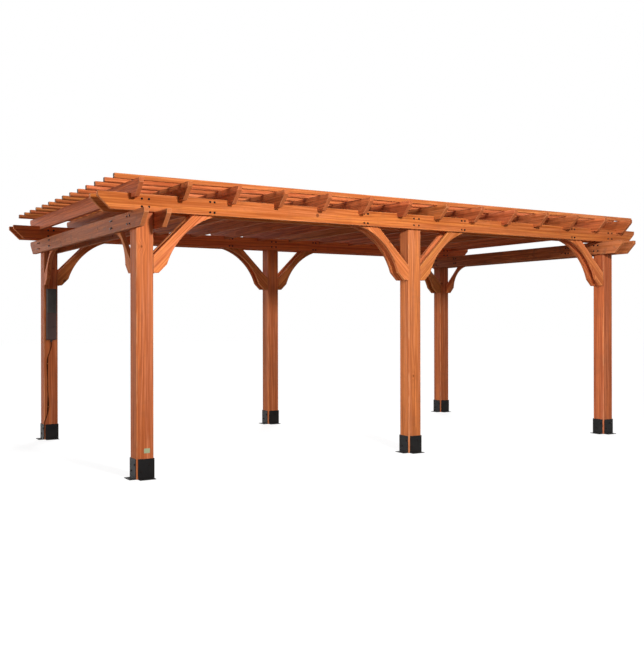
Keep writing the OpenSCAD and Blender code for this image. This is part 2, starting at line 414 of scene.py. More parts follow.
@dataclass(frozen=True)
class StainedCedar(Finish):
    """Cedar under an orange-brown penetrating stain.

    Args:
        name: Name of the material.
        light: Colour of the early wood.
        blush: Colour of the pinker stretches.
        dark: Colour of the dense streaks.
        ring_pitch: Usual distance between two growth rings.
        wander: How far the rings stray from round.
        knottiness: Share of the knot places that hold a knot.
        contrast: How strongly the late wood shows.
        mottle: How strongly small dark patches show.
        knot: Colour of the knots.
        end: Colour of the sawn ends; the default is kept light, which also paints light onto cut
            faces that turn away from the lamps.
        end_share: How strongly the ends take that colour.
        worn: Colour of worn edges, lighter, which also paints a highlight along the arrises and the
            posts' chamfers.
        grime: Colour of dirt.
        specular: Strength of the reflections.
    """

    name: str
    light: Colour
    blush: Colour
    dark: Colour
    ring_pitch: float = 0.0055
    wander: float = 0.03
    knottiness: float = 0.45
    contrast: float = 0.5
    mottle: float = 0.12
    knot: Colour = (0.16, 0.04, 0.012)
    # Kept light: besides the sawn ends' colour, this paints light onto cut faces that turn down and
    # away from the lamps.
    end: Colour = (0.66, 0.2, 0.065)
    end_share: float = 0.55
    worn: Colour = (0.86, 0.42, 0.2)
    grime: Colour = (0.16, 0.085, 0.05)
    specular: float = 0.08

    def shader(self, sketch: Sketch) -> bpy.types.Node:
        """Build the stained wood shader.

        Args:
            sketch: The material's node tree.

        Returns:
            The shader node.
        """
        grain = sketch.attribute("grain").outputs["Vector"]
        place = sketch.add("ShaderNodeTexCoord").outputs["Object"]
        rings = {
            "Ring Pitch": self.ring_pitch, "Wander": self.wander, "Knottiness": self.knottiness,
        }
        figure = sketch.group(cedar_figure(), {"Grain": grain, **rings})
        colour = self.wood(sketch, grain, place, figure)
        # Worn edges, lightened: real wear, and also a painted highlight along the arrises and the
        # posts' chamfers.
        worn = self.wear(sketch, place, patch_scale=7.0, amount=0.3)
        colour = sketch.blend(worn, colour, self.worn)
        clouds = sketch.step(sketch.noise(place, (1.1, 1.1, 1.1), 4.0).outputs[0], 0.5, 0.8)
        dirt = self.dirt(sketch, place, dust=0.12, splash=0.35)
        colour = sketch.blend(sketch.plus(dirt, sketch.times(clouds, 0.15)), colour, self.grime)
        roughness = sketch.spread(figure["Streak"], 0.6, 0.85)
        relief = sketch.plus(
            sketch.times(figure["Fibre"], 0.5), sketch.times(figure["Late Wood"], 0.35)
        )
        relief = sketch.plus(relief, sketch.times(figure["Knot"], -0.4))
        return self.surface(
            sketch, colour, roughness, self.specular, relief, strength=0.5, depth=0.0008
        )

    def wood(self, sketch: Sketch, grain: Socket, place: Socket, figure: Sockets) -> Socket:
        """Colour the clean wood.

        Args:
            sketch: The material's node tree.
            grain: Place in the log.
            place: Place on the object.
            figure: Outputs of the cedar figure.

        Returns:
            The colour, before wear and dirt.
        """
        stretch = sketch.step(sketch.noise(grain, (0.7, 22.0, 22.0)).outputs[0], 0.4, 0.62)
        shade = sketch.plus(sketch.times(figure["Band"], 0.4), sketch.times(figure["Streak"], 0.6))
        fine = sketch.times(sketch.step(figure["Fine"], 0.56, 0.72), 0.4)
        patches = sketch.step(sketch.noise(place, (14.0, 14.0, 14.0), 4.0).outputs[0], 0.52, 0.68)
        colour = sketch.blend(stretch, self.light, self.blush)
        colour = sketch.blend(sketch.step(shade, 0.62, 0.39), colour, self.dark)
        colour = sketch.blend(fine, colour, self.dark)
        colour = sketch.blend(sketch.times(patches, self.mottle), colour, self.grime)
        colour = sketch.blend(sketch.times(figure["Late Wood"], self.contrast), colour, self.dark)
        hue_turns, hue_range, value_range = 7.3, (0.493, 0.507), (0.87, 1.1)
        tone = sketch.attribute("tone").outputs["Fac"]
        hue = sketch.spread(sketch.math("FRACT", sketch.times(tone, hue_turns)), *hue_range)
        inputs = {"Hue": hue, "Value": sketch.spread(tone, *value_range), "Color": colour}
        colour = sketch.add("ShaderNodeHueSaturation", inputs).outputs[0]
        colour = sketch.blend(sketch.times(figure["Knot"], 0.8), colour, self.knot)
        # Sawn ends take the end colour: their own colour, and with the default end colour also
        # painted light on cut faces turned away from the lamps.
        end = sketch.attribute("end_face").outputs["Fac"]
        return sketch.blend(sketch.times(end, self.end_share), colour, self.end)


@dataclass(frozen=True)
class PowderCoat(Finish):
    """Coated steel or aluminium with a fine orange-peel skin.

    Args:
        name: Name of the material.
        colour: Colour of the coat.
        bare: Colour where edges have worn.
        dust: Amount of dust on upward faces.
        splash: Amount of dirt just above the ground.
        roughness: Usual roughness.
        specular: Strength of the reflections.
        grime: Colour of dust and dirt.
    """

    name: str
    colour: Colour
    bare: Colour = (0.16, 0.15, 0.145)
    dust: float = 0.25
    splash: float = 0.3
    roughness: float = 0.5
    specular: float = 0.1
    grime: Colour = (0.22, 0.18, 0.145)

    def shader(self, sketch: Sketch) -> bpy.types.Node:
        """Build the coated metal shader.

        Args:
            sketch: The material's node tree.

        Returns:
            The shader node.
        """
        place = sketch.add("ShaderNodeTexCoord").outputs["Object"]
        cloud = sketch.noise(place, (6.0, 6.0, 6.0), 5.0).outputs[0]
        lifted = tuple(channel * 1.6 for channel in self.colour)
        colour = sketch.blend(sketch.step(cloud, 0.35, 0.7), self.colour, lifted)
        worn = self.wear(sketch, place, patch_scale=40.0, amount=0.45)
        colour = sketch.blend(worn, colour, self.bare)
        dirt = self.dirt(sketch, place, self.dust, self.splash)
        colour = sketch.blend(dirt, colour, self.grime)
        skin = sketch.noise(place, (700.0, 700.0, 700.0), 1.0).outputs[0]
        roughness = sketch.spread(cloud, self.roughness - 0.08, self.roughness + 0.1)
        roughness = sketch.plus(roughness, dirt)
        return self.surface(
            sketch, colour, roughness, self.specular, skin, strength=0.25, depth=0.0004
        )


@dataclass(frozen=True)
class MouldedPlastic(Finish):
    """Moulded plastic or rubber with a fine spark-eroded skin.

    Args:
        name: Name of the material.
        colour: Colour of the plastic.
        faded: Colour where the sun has bleached it.
        roughness: Usual roughness.
        specular: Strength of the reflections.
        grime: Colour of dust and dirt.
    """

    name: str
    colour: Colour
    faded: Colour
    roughness: float = 0.55
    specular: float = 0.18
    grime: Colour = (0.24, 0.2, 0.16)

    def shader(self, sketch: Sketch) -> bpy.types.Node:
        """Build the plastic shader.

        Args:
            sketch: The material's node tree.

        Returns:
            The shader node.
        """
        place = sketch.add("ShaderNodeTexCoord").outputs["Object"]
        bleach = sketch.step(sketch.noise(place, (5.0, 5.0, 2.5), 4.0).outputs[0], 0.35, 0.7)
        colour = sketch.blend(bleach, self.colour, self.faded)
        rubbed = tuple(1.8 * channel for channel in self.faded)
        worn = self.wear(sketch, place, patch_scale=30.0, amount=0.35)
        colour = sketch.blend(worn, colour, rubbed)
        colour = sketch.blend(self.dirt(sketch, place, dust=0.3, splash=0.2), colour, self.grime)
        skin = sketch.noise(place, (1400.0, 1400.0, 1400.0), 1.0).outputs[0]
        roughness = sketch.spread(bleach, self.roughness - 0.05, self.roughness + 0.12)
        return self.surface(
            sketch, colour, roughness, self.specular, skin, strength=0.2, depth=0.0003
        )


POST_CEDAR = StainedCedar(
    "post_cedar", light=(0.76, 0.224, 0.068), blush=(0.7, 0.228, 0.1), dark=(0.42, 0.105, 0.033),
    knottiness=0.3,
)
HEADER_CEDAR = StainedCedar(
    "header_cedar", light=(0.87, 0.27, 0.066), blush=(0.8, 0.24, 0.082), dark=(0.48, 0.11, 0.026),
)
BEAM_CEDAR = StainedCedar(
    "beam_cedar", light=(0.7, 0.22, 0.074), blush=(0.62, 0.205, 0.085), dark=(0.35, 0.093, 0.03),
    mottle=0.45,
)
BRACE_CEDAR = StainedCedar(
    "brace_cedar", light=(0.88, 0.31, 0.09), blush=(0.8, 0.26, 0.095), dark=(0.5, 0.13, 0.033),
)
RAFTER_CEDAR = StainedCedar(
    "rafter_cedar", light=(0.74, 0.21, 0.066), blush=(0.67, 0.2, 0.078), dark=(0.38, 0.095, 0.028),
    end=(0.46, 0.12, 0.04),
)
SLAT_CEDAR = StainedCedar(
    "slat_cedar", light=(0.9, 0.32, 0.1), blush=(0.82, 0.27, 0.1), dark=(0.5, 0.13, 0.034),
    ring_pitch=0.004, end=(0.06, 0.042, 0.03), end_share=0.85,
)
SHOE_COAT = PowderCoat("shoe_coat", colour=(0.009, 0.0083, 0.0083), dust=0.04, splash=0.03)
BOLT_COAT = PowderCoat(
    "bolt_coat", colour=(0.012, 0.009, 0.008), bare=(0.04, 0.034, 0.03), dust=0.05, splash=0.0,
)
RIB_COAT = PowderCoat("rib_coat", colour=(0.1, 0.092, 0.082), dust=0.15, splash=0.0)
BOX_PLASTIC = MouldedPlastic(
    "power_box_plastic", colour=(0.08, 0.049, 0.044), faded=(0.108, 0.07, 0.063),
)
GLAND_PLASTIC = MouldedPlastic(
    "cable_gland_plastic", colour=(0.04, 0.025, 0.02), faded=(0.06, 0.04, 0.032),
)
CLIP_PLASTIC = MouldedPlastic(
    "cable_clip_plastic", colour=(0.26, 0.075, 0.024), faded=(0.3, 0.09, 0.03),
)
CABLE_RUBBER = MouldedPlastic(
    "supply_cable_rubber", colour=(0.07, 0.017, 0.005), faded=(0.09, 0.024, 0.008),
    roughness=0.8, specular=0.02,
)
LABEL_PLASTIC = MouldedPlastic("label_plastic", colour=(0.36, 0.4, 0.22), faded=(0.42, 0.46, 0.28))


# -------------------------------------------------------------- mesh working


class Lay(Enum):
    """How a board's grain lies: along its length, then across its wide face."""

    UPRIGHT = ((0, 0, 1), (1, 0, 0))
    ALONG_X = ((1, 0, 0), (0, 0, 1))
    ALONG_Y = ((0, 1, 0), (0, 0, 1))
    LEANING_RIGHT = ((1, 0, 1), (1, 0, -1))
    LEANING_LEFT = ((-1, 0, 1), (-1, 0, -1))
    LEANING_REAR = ((0, 1, 1), (0, 1, -1))
    LEANING_FRONT = ((0, -1, 1), (0, -1, -1))


def bevel(
    mesh: bmesh.types.BMesh, edges: list[bmesh.types.BMEdge], width: float, segments: int,
    slide: bool = False,
) -> list[bmesh.types.BMFace]:
    """Round some edges of a mesh.

    Args:
        mesh: The mesh.
        edges: The edges to round.
        width: How far the rounding reaches from the edge.
        segments: Number of faces across the rounding.
        slide: Whether the rounding's corners slide along the edges that stay.

    Returns:
        The faces that this makes.
    """
    made = bmesh.ops.bevel(
        mesh, geom=edges, offset=width, offset_type="OFFSET", segments=segments,
        profile=0.5, affect="EDGES", clamp_overlap=True, loop_slide=slide, material=-1,
    )
    return made["faces"]


class Workpiece:
    """A copy of a CAD node's solids, worked like stock on a bench."""

    MERGE = 1e-5
    FLAT = math.radians(0.3)
    SHARP = math.radians(25)
    PITH_GAP = (0.02, 0.1)
    END_FACING = 0.6

    def __init__(self, node: str) -> None:
        """Copy the node's mesh, merge its corners and make its flat faces whole.

        Args:
            node: The CAD node.
        """
        self.mesh = bmesh.new()
        self.mesh.from_mesh(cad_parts[node].data)
        bmesh.ops.remove_doubles(self.mesh, verts=self.mesh.verts[:], dist=self.MERGE)
        bmesh.ops.dissolve_limit(
            self.mesh, angle_limit=self.FLAT, verts=self.mesh.verts[:], edges=self.mesh.edges[:]
        )
        self.edge_mark = self.mesh.faces.layers.float.new("eased")

    def solids(self) -> list[list[bmesh.types.BMVert]]:
        """Find the separate solids.

        Returns:
            The vertices of each solid, in order of the solids' places.
        """
        left, found = set(self.mesh.verts), []
        for start in list(self.mesh.verts):
            if start not in left:
                continue
            left.discard(start)
            solid, reached = [], [start]
            while reached:
                vert = reached.pop()
                solid.append(vert)
                for edge in vert.link_edges:
                    other = edge.other_vert(vert)
                    if other in left:
                        left.discard(other)
                        reached.append(other)
            found.append(solid)
        return sorted(found, key=lambda solid: tuple(round(c, 4) for c in self.middle(solid)))

    @staticmethod
    def middle(verts: list[bmesh.types.BMVert]) -> Vector:
        """Give the middle of the box round some vertices.

        Args:
            verts: The vertices.

        Returns:
            The middle.
        """
        low = Vector(min(v.co[i] for v in verts) for i in range(3))
        high = Vector(max(v.co[i] for v in verts) for i in range(3))
        return (low + high) / 2

    def keep_first(self, axis: int) -> "Workpiece":
        """Keep only the first solid, and centre it on one axis.

        Args:
            axis: Number of the axis, from 0 to 2.

        Returns:
            The workpiece itself.
        """
        first, *others = self.solids()
        bmesh.ops.delete(self.mesh, geom=[v for solid in others for v in solid], context="VERTS")
        middle = self.middle(first)[axis]
        for vert in self.mesh.verts:
            vert.co[axis] -= middle
        return self

    def ease(self, width: float, segments: int = 2) -> "Workpiece":
        """Round every sharp edge and mark the faces that this makes.

        Args:
            width: How far the rounding reaches from the edge.
            segments: Number of faces across the rounding.

        Returns:
            The workpiece itself.
        """
        sharp = [e for e in self.mesh.edges if e.is_manifold and e.calc_face_angle() > self.SHARP]
        for face in bevel(self.mesh, sharp, width, segments, slide=True):
            face[self.edge_mark] = 1.0
        return self

    def mark_narrow_for_wear_and_highlight(self, width: float) -> "Workpiece":
        """Mark the faces narrower than this as edges too, so that they take the worn edge colour,
        which on the posts' chamfers also paints their highlight.

        Args:
            width: The width.

        Returns:
            The workpiece itself.
        """
        for face in self.mesh.faces:
            if face.calc_area() / max(e.calc_length() for e in face.edges) < width:
                face[self.edge_mark] = 1.0
        return self

    def lay_grain(self, lay: Lay, rng: random.Random, tones: bool = True) -> "Workpiece":
        """Give each solid its own place in a log, and its own tone.

        Args:
            lay: How the grain runs.
            rng: Source of the chance differences.
            tones: Whether to give the solids a tone here.

        Returns:
            The workpiece itself.
        """
        along, across = (Vector(axis).normalized() for axis in lay.value)
        through = along.cross(across)
        grain = self.mesh.verts.layers.float_vector.new("grain")
        end_mark = self.mesh.faces.layers.float.new("end_face")
        tone_mark = self.mesh.verts.layers.float.new("tone") if tones else None
        for solid in self.solids():
            middle = self.middle(solid)
            offs = [vert.co - middle for vert in solid]
            reach = max(abs(off.dot(across)) + abs(off.dot(through)) for off in offs)
            turn, start = rng.uniform(-1.0, 1.0), rng.uniform(-LOG_REACH, LOG_REACH)
            pith, tone = reach + rng.uniform(*self.PITH_GAP), rng.random()
            turned_y = through * math.cos(turn) + across * math.sin(turn)
            turned_z = across * math.cos(turn) - through * math.sin(turn)
            for vert, off in zip(solid, offs):
                vert[grain] = (off.dot(along) + start, off.dot(turned_y) + pith, off.dot(turned_z))
                if tones:
                    vert[tone_mark] = tone
        for face in self.mesh.faces:
            face[end_mark] = 1.0 if abs(face.normal.dot(along)) > self.END_FACING else 0.0
        return self

    def to_object(self, name: str) -> bpy.types.Object:
        """Turn the workpiece into an object with smooth faces.

        Args:
            name: Name of the object.

        Returns:
            The object.
        """
        data = bpy.data.meshes.new(name)
        self.mesh.to_mesh(data)
        self.mesh.free()
        return new_object(name, data)


def put(name: str, data: bpy.types.ID) -> bpy.types.Object:
    """Put a new object of a mesh, a light or a camera in the scene.

    Args:
        name: Name of the object.
        data: The mesh, light or camera.

    Returns:
        The new object.
    """
    made = bpy.data.objects.new(name, data)
    bpy.context.scene.collection.objects.link(made)
    return made


def new_object(name: str, data: bpy.types.Mesh) -> bpy.types.Object:
    """Put a mesh in the scene with smooth faces."""
    data.polygons.foreach_set("use_smooth", [True] * len(data.polygons))
    return put(name, data)


def dress(piece: bpy.types.Object, finish: Finish, slot: str, *nodes: str) -> bpy.types.Object:
    """Finish a piece, fix it to the root empty, and hide the CAD nodes that it stands for.

    Args:
        piece: The new piece.
        finish: Its finish.
        slot: Name of the material slot; not used.
        nodes: The CAD nodes that it stands for.

    Returns:
        The piece.
    """
    piece.data.materials.clear()
    piece.data.materials.append(finish.material())
    normals = piece.modifiers.new("flat_faces_stay_flat", "WEIGHTED_NORMAL")
    normals.mode = "FACE_AREA"
    normals.weight = 50
    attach(piece, BODY)
    if nodes:
        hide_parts(*nodes)
    LOG.info("%s: %d faces", piece.name, len(piece.data.polygons))
    return piece


# ------------------------------------------------------------ geometry nodes


@lru_cache(maxsize=None)
def board_row() -> bpy.types.NodeTree:
    """Equal boards in an even row, each with its own place in a log and its own tone.

    Returns:
        The geometry node tree.
    """
    sketch = new_group(
        "GeometryNodeTree",
        "board_row",
        {
            "Board": "NodeSocketObject",
            "Count": "NodeSocketInt",
            "Start": VECTOR,
            "Step": VECTOR,
            "Seed": "NodeSocketInt",
            "Finish": "NodeSocketMaterial",
        },
        {"Boards": "NodeSocketGeometry"},
    )
    given = sketch.add("NodeGroupInput").outputs
    line = sketch.add(
        "GeometryNodeMeshLine",
        {"Count": given["Count"], "Start Location": given["Start"], "Offset": given["Step"]},
    )
    board = sketch.add("GeometryNodeObjectInfo", {"Object": given["Board"]})
    copies = sketch.add(
        "GeometryNodeInstanceOnPoints",
        {"Points": line.outputs[0], "Instance": board.outputs["Geometry"]},
    )
    shift = sketch.add("FunctionNodeRandomValue", {"Seed": given["Seed"]}, data_type="FLOAT_VECTOR")
    least_shift, most_shift = (-LOG_REACH, -0.01, -0.03), (LOG_REACH, 0.06, 0.03)
    shift.inputs[0].default_value = least_shift
    shift.inputs[1].default_value = most_shift
    tone = sketch.add("FunctionNodeRandomValue", {"Seed": given["Seed"]}, data_type="FLOAT")
    shape = sketch.store(
        copies.outputs[0], "board_shift", shift.outputs[0], "FLOAT_VECTOR", "INSTANCE"
    )
    shape = sketch.store(shape, "tone", tone.outputs[1], "FLOAT", "INSTANCE")
    shape = sketch.add("GeometryNodeRealizeInstances", {"Geometry": shape}).outputs[0]
    moved = sketch.vector("ADD", sketch.named("grain"), sketch.named("board_shift"))
    shape = sketch.store(shape, "grain", moved, "FLOAT_VECTOR", "POINT")
    for kind, inputs in (
        ("GeometryNodeRemoveAttribute", {"Name": "board_shift"}),
        ("GeometryNodeSetMaterial", {"Material": given["Finish"]}),
    ):
        shape = sketch.add(kind, {"Geometry": shape, **inputs}).outputs[0]
    sketch.add("NodeGroupOutput", {"Boards": shape})
    return sketch.tree


@lru_cache(maxsize=None)
def fixings() -> bpy.types.NodeTree:
    """One bolt or screw on each point, turned to the point's facing and spun by chance.

    Returns:
        The geometry node tree.
    """
    sketch = new_group(
        "GeometryNodeTree",
        "fixings",
        {
            "Places": "NodeSocketGeometry",
            "Head": "NodeSocketObject",
            "Seed": "NodeSocketInt",
            "Finish": "NodeSocketMaterial",
        },
        {"Heads": "NodeSocketGeometry"},
    )
    given = sketch.add("NodeGroupInput").outputs
    head = sketch.add("GeometryNodeObjectInfo", {"Object": given["Head"]})
    turn = sketch.add(
        "FunctionNodeAlignRotationToVector", {"Vector": sketch.named("facing")}, axis="Z"
    )
    copies = sketch.add(
        "GeometryNodeInstanceOnPoints",
        {
            "Points": given["Places"],
            "Instance": head.outputs["Geometry"],
            "Rotation": turn.outputs[0],
        },
    )
    angle = sketch.add("FunctionNodeRandomValue", {"Seed": given["Seed"]}, data_type="FLOAT")
    angle.inputs[3].default_value = math.tau
    spin = sketch.add("ShaderNodeCombineXYZ", {"Z": angle.outputs[1]})
    spin = sketch.add("FunctionNodeEulerToRotation", {0: spin.outputs[0]})
    spun = sketch.add(
        "GeometryNodeRotateInstances",
        {"Instances": copies.outputs[0], "Rotation": spin.outputs[0], "Local Space": True},
    )
    shape = sketch.add("GeometryNodeRealizeInstances", {"Geometry": spun.outputs[0]}).outputs[0]
    paint = {"Geometry": shape, "Material": given["Finish"]}
    painted = sketch.add("GeometryNodeSetMaterial", paint)
    sketch.add("NodeGroupOutput", {"Heads": painted.outputs[0]})
    return sketch.tree


def grow(piece: bpy.types.Object, tree: bpy.types.NodeTree, inputs: dict) -> bpy.types.Object:
    """Run a geometry node tree on a piece and keep the result as a plain mesh.

    Args:
        piece: The object that the tree starts from.
        tree: The geometry node tree.
        inputs: The tree's inputs by name.

    Returns:
        The piece, with its new mesh and no modifier.
    """
    run = piece.modifiers.new("grow", "NODES")
    run.node_group = tree
    for item in tree.interface.items_tree:
        if item.item_type == "SOCKET" and item.in_out == "INPUT" and item.name in inputs:
            run[item.identifier] = inputs[item.name]
    depsgraph = bpy.context.evaluated_depsgraph_get()
    result = bpy.data.meshes.new_from_object(
        piece.evaluated_get(depsgraph), preserve_all_data_layers=True, depsgraph=depsgraph
    )
    piece.modifiers.remove(run)
    old, piece.data = piece.data, result
    bpy.data.meshes.remove(old)
    result.polygons.foreach_set("use_smooth", [True] * len(result.polygons))
    return piece


# -------------------------------------------------------------- sub-assemblies


ROWS = ("front", "rear")
PLACES = ("left", "middle", "right")
SIDES = ("left", "right")
FACES = ("outer", "inner")
RAFTER_NODES = ("left_end_rafter", "left_bay_rafters", "right_bay_rafters", "right_end_rafter")
SLAT_NODES = ("front_roof_slats", "rear_roof_slats")


def post_middle(row: str, place: str) -> Vector:
    """Give the middle of a post's box."""
    low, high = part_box(f"{row}_{place}_post")
    return (low + high) / 2


def timber(
    node: str, easing: float, lay: Lay, rng: random.Random, finish: Finish, slot: str,
    narrow: float = 0.0,
) -> bpy.types.Object:
    """Make one post, board or brace from its CAD node.

    Args:
        node: The CAD node.
        easing: How far its edges are rounded.
        lay: How its grain runs.
        rng: Source of the chance differences.
        finish: Its finish.
        slot: Its material slot.
        narrow: Width under which a face counts as an edge, and takes the worn edge colour that also
            paints a highlight.

    Returns:
        The dressed timber.
    """
    stock = Workpiece(node).ease(easing).mark_narrow_for_wear_and_highlight(narrow).lay_grain(lay, rng)
    return dress(stock.to_object(f"{node}_timber"), finish, slot, node)


@dataclass
class Posts:
    """Six square posts with bevelled long edges."""

    easing: float = 0.0015
    bevel_width: float = 0.012
    seed: int = 11

    def build(self) -> list[bpy.types.Object]:
        """Make one timber for each post.

        Returns:
            The dressed posts.
        """
        rng = random.Random(self.seed)
        # The posts' chamfers, narrower than bevel_width, take the worn edge colour, which also
        # paints their highlight.
        common = (self.easing, Lay.UPRIGHT, rng, POST_CEDAR, "post_timber", self.bevel_width)
        return [timber(f"{row}_{place}_post", *common) for row, place in product(ROWS, PLACES)]


@dataclass
class LongBoards:
    """Header boards on the posts' front and rear faces, and side beams under them."""

    easing: float = 0.003
    seed: int = 23

    def build(self) -> list[bpy.types.Object]:
        """Make the four header boards and the four side beam boards.

        Returns:
            The dressed boards.
        """
        rng = random.Random(self.seed)
        header = (self.easing, Lay.ALONG_X, rng, HEADER_CEDAR, "header_timber")
        beam = (self.easing, Lay.ALONG_Y, rng, BEAM_CEDAR, "beam_timber")
        made = [timber(f"{row}_header_{face}_board", *header) for row, face in product(ROWS, FACES)]
        return made + [
            timber(f"{side}_beam_{face}_board", *beam) for side, face in product(SIDES, FACES)
        ]


@dataclass
class KneeBraces:
    """Twelve braces: spaced pairs of boards under the headers, single ones under the side beams."""

    easing: float = 0.003
    seed: int = 37
    lays: dict[str, Lay] = field(default_factory=lambda: {
        "left_header": Lay.LEANING_RIGHT,
        "middle_left": Lay.LEANING_LEFT,
        "middle_right": Lay.LEANING_RIGHT,
        "right_header": Lay.LEANING_LEFT,
    })

    def build(self) -> list[bpy.types.Object]:
        """Make the twelve braces.

        Returns:
            The dressed braces.
        """
        rng = random.Random(self.seed)
        made = []
        for row, sideways in zip(ROWS, (Lay.LEANING_REAR, Lay.LEANING_FRONT)):
            lays = {**self.lays, "left_side": sideways, "right_side": sideways}
            for name, lay in lays.items():
                node = f"{row}_{name}_brace"
                made.append(timber(node, self.easing, lay, rng, BRACE_CEDAR, "brace_timber"))
        return made


@dataclass
class BoardRow:
    """Equal boards in an even row, one piece for each CAD node.

    Args:
        nodes: The CAD nodes.
        axis: The axis that the row runs along.
        lay: How the grain runs.
        finish: The boards' finish.
        slot: The boards' material slot.
        seed: Seed of the first row.
        easing: How far the boards' edges are rounded.
    """

    nodes: tuple[str, ...]
    axis: int
    lay: Lay
    finish: Finish
    slot: str
    seed: int
    easing: float = 0.003

    def build(self) -> list[bpy.types.Object]:
        """Make one row for each CAD node."""
        return [self.row(node, self.seed + i) for i, node in enumerate(self.nodes)]

    def row(self, node: str, seed: int) -> bpy.types.Object:
        """Make the row of one CAD node.

        Args:
            node: The CAD node.
            seed: Seed of the row's chance differences.

        Returns:
            The dressed row.
        """
        stock = Workpiece(node)
        middles = [stock.middle(solid)[self.axis] for solid in stock.solids()]
        start, step = Vector(), Vector()
        start[self.axis] = middles[0]
        step[self.axis] = (middles[-1] - middles[0]) / max(1, len(middles) - 1)
        stock = stock.keep_first(self.axis).ease(self.easing)
        stock = stock.lay_grain(self.lay, random.Random(seed), tones=False)
        board = stock.to_object(f"{node}_board")
        piece = new_object(f"{node}_timber", bpy.data.meshes.new(f"{node}_timber"))
        inputs = {
            "Board": board,
            "Count": len(middles),
            "Start": tuple(start),
            "Step": tuple(step),
            "Seed": seed,
            "Finish": self.finish.material(),
        }
        grow(piece, board_row(), inputs)
        bpy.data.objects.remove(board)
        return dress(piece, self.finish, self.slot, node)


@dataclass
class PostShoes:
    """Steel angles round the posts' feet, with bent corners."""

    bend: float = 0.0045
    easing: float = 0.0009
    leg_area: float = 0.012

    def build(self) -> list[bpy.types.Object]:
        """Make one shoe for each post."""
        return [self.shoe(f"{row}_{place}_shoe") for row, place in product(ROWS, PLACES)]

    def shoe(self, node: str) -> bpy.types.Object:
        """Make one shoe of two angles.

        Args:
            node: The shoe's CAD node.

        Returns:
            The dressed shoe.
        """
        stock = Workpiece(node)
        corners = [
            edge for edge in stock.mesh.edges
            if edge.is_manifold and edge.is_convex and edge.calc_face_angle() > stock.SHARP
            and all(face.calc_area() > self.leg_area for face in edge.link_faces)
        ]
        bevel(stock.mesh, corners, self.bend, segments=4)
        piece = stock.ease(self.easing).to_object(f"{node}_plates")
        return dress(piece, SHOE_COAT, "shoe_steel", node)


